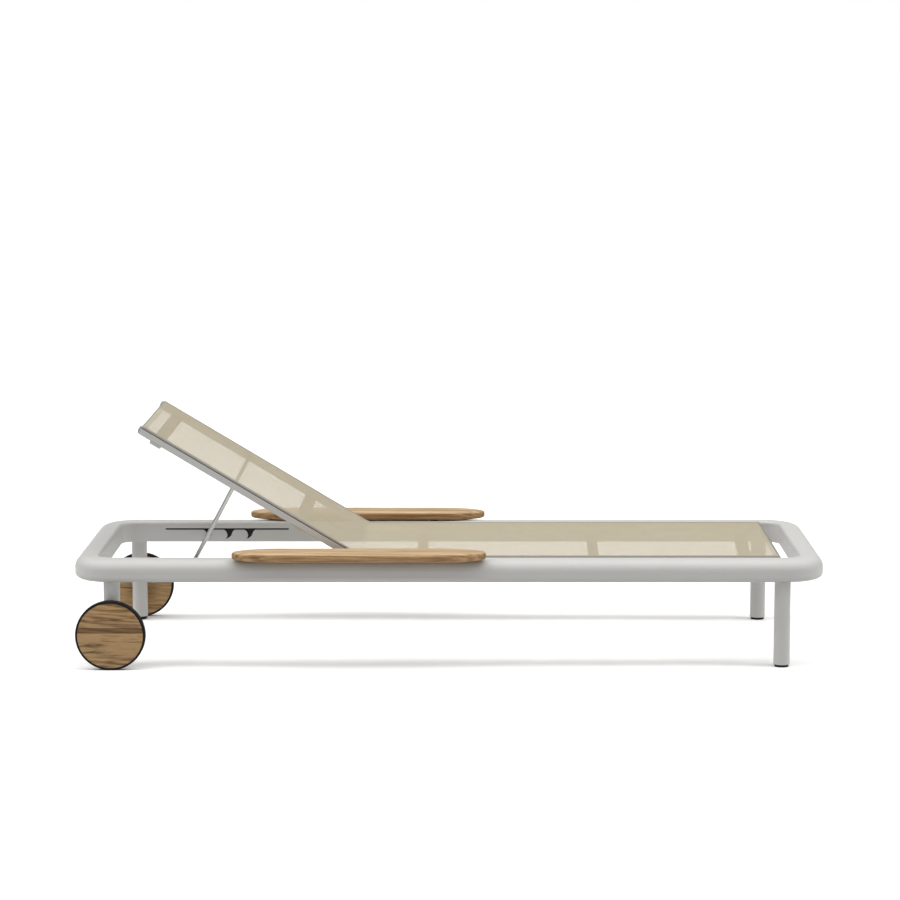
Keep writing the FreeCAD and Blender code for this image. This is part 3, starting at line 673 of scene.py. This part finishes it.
def stitching(name, end, inwards, thread):
    mesh = bmesh.new()
    count = int(2 * (RAIL_INNER - STITCH_SIDE_GAP) / STITCH_PITCH)
    for row in HEM_ROWS:
        run = end + inwards * row
        slope = along_sling(run)[2]
        for index in range(count):
            y = (index - (count - 1) / 2) * STITCH_PITCH
            place = Matrix.Translation(on_sling(run, y, -STITCH_PROUD)) @ Matrix.Rotation(slope, 4, "Y")
            size = Matrix.Diagonal((*STITCH_SIZE, 1))
            bmesh.ops.create_uvsphere(mesh, u_segments=6, v_segments=4, radius=1, matrix=place @ size)
    return finish_mesh(mesh, name, thread)


thread = sewing_thread()
head_hem = hem("head_hem", sling_length(), 1)
foot_hem = hem("foot_hem", 0.0, -1)
head_stitches = stitching("head_stitches", sling_length(), -1, thread)
foot_stitches = stitching("foot_stitches", 0.0, 1, thread)
for piece in (head_hem, head_stitches):
    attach(piece, "backrest")
for piece in (foot_hem, foot_stitches):
    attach(piece, "frame")
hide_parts("seat_sling", "back_sling")
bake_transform(sheet)


# Keder cords. ------------------------------------------------------------------------------------
# A solid plastic cord, almost black, is welded into each long edge of the sling. It is pushed along
# the groove of its rail, which holds the edge down.


def keder_cord():
    dark, darker = (0.022, 0.020, 0.018, 1), (0.012, 0.011, 0.010, 1)
    material, shader = new_material("keder_cord", dark, 0.6)
    ribs = noise(material, object_point(material, (0.2, 1, 1)), 900, 2)
    plug(material, shader, "Base Color", mix_colour(material, remap(material, ribs, 0.3, 0.7), dark, darker))
    bump(material, shader, ribs, 0.3, 0.0002)
    return material


dress(keder_cord(), *both("seat_keder"), *both("back_keder"))


# Camera, lights and floor. -----------------------------------------------------------------------
# A long lens at sitting height looks at the right-hand side. A broad soft light comes from overhead,
# pale surroundings fill the rest, and the floor is white.

SENSOR = 36.0
FILL_ABOVE = 0.22
FILL_BELOW = 0.84  # what the white floor throws back up
FILL_CHANGE = 0.1  # how far either side of level the one turns into the other
STRIP_LEANS = (-44, -22, 0, 22, 44)
FLOOR_HALF = 200

camera_data = bpy.data.cameras.new("camera")
camera_data.sensor_width = SENSOR
camera_data.lens = 114.68
camera_data.shift_x = -0.0217
camera = bpy.data.objects.new("camera", camera_data)
camera.location = (0.0559, -8.0, 1.660)
camera.rotation_euler = (math.radians(82.096), 0, 0)
bpy.context.scene.collection.objects.link(camera)
bpy.context.scene.camera = camera
bpy.context.scene.view_settings.view_transform = "Standard"

floor_mesh = bmesh.new()
bmesh.ops.create_grid(floor_mesh, x_segments=1, y_segments=1, size=FLOOR_HALF)
floor_data = bpy.data.meshes.new("floor")
floor_mesh.to_mesh(floor_data)
floor_mesh.free()
floor = bpy.data.objects.new("floor", floor_data)
bpy.context.scene.collection.objects.link(floor)
floor_paint, floor_shader = new_material("white_floor", (0.93, 0.93, 0.93, 1), 0.9)
floor_shader.inputs["Specular IOR Level"].default_value = 0.0
floor_data.materials.append(floor_paint)
floor.visible_diffuse = False


def linked_collection(name, thing, state):
    """A light's list of what it lights or what shades it, with one thing in or out of it."""
    group = bpy.data.collections.new(name)
    group.objects.link(thing)
    group.collection_objects[0].light_linking.link_state = state
    return group


def overhead_strip(name, strength, spread, tilt, lit, shaded_by=None):
    """A soft light box overhead that is long in X and narrow in Y, made of leaning suns."""
    for lean in STRIP_LEANS:
        data = bpy.data.lights.new(name, "SUN")
        data.energy = strength / len(STRIP_LEANS) / math.cos(math.radians(lean))
        data.angle = math.radians(spread)
        light = bpy.data.objects.new(name, data)
        light.rotation_euler = (math.radians(tilt), math.radians(lean), 0)
        light.light_linking.receiver_collection = lit
        if shaded_by:
            light.light_linking.blocker_collection = shaded_by
        bpy.context.scene.collection.objects.link(light)


all_but_floor = linked_collection("all_but_floor", floor, "EXCLUDE")
floor_only = linked_collection("floor_only", floor, "INCLUDE")
all_but_sling = linked_collection("all_but_sling", sheet, "EXCLUDE")
overhead_strip("overhead_on_lounger", 3.3, 46, 4, all_but_floor)
overhead_strip("narrow_on_floor", 2.5, 22, 6, floor_only, all_but_sling)
overhead_strip("broad_on_floor", 1.7, 120, 0, floor_only, all_but_sling)

world = bpy.data.worlds.new("pale_surroundings")
bpy.context.scene.world = world
world.use_nodes = True
surroundings = world.node_tree.nodes["Background"]
surroundings.inputs["Color"].default_value = (1, 1, 1, 1)
sky_nodes, sky_links = world.node_tree.nodes, world.node_tree.links
direction = sky_nodes.new("ShaderNodeSeparateXYZ")
sky_links.new(sky_nodes.new("ShaderNodeTexCoord").outputs["Generated"], direction.inputs[0])
fill = sky_nodes.new("ShaderNodeMapRange")
fill.inputs["From Min"].default_value = -FILL_CHANGE
fill.inputs["From Max"].default_value = FILL_CHANGE
fill.inputs["To Min"].default_value = FILL_BELOW
fill.inputs["To Max"].default_value = FILL_ABOVE
sky_links.new(direction.outputs["Z"], fill.inputs["Value"])
level = sky_nodes.new("ShaderNodeMapRange")
sky_links.new(sky_nodes.new("ShaderNodeLightPath").outputs["Is Camera Ray"], level.inputs["Value"])
sky_links.new(fill.outputs["Result"], level.inputs["To Min"])
sky_links.new(level.outputs["Result"], surroundings.inputs["Strength"])
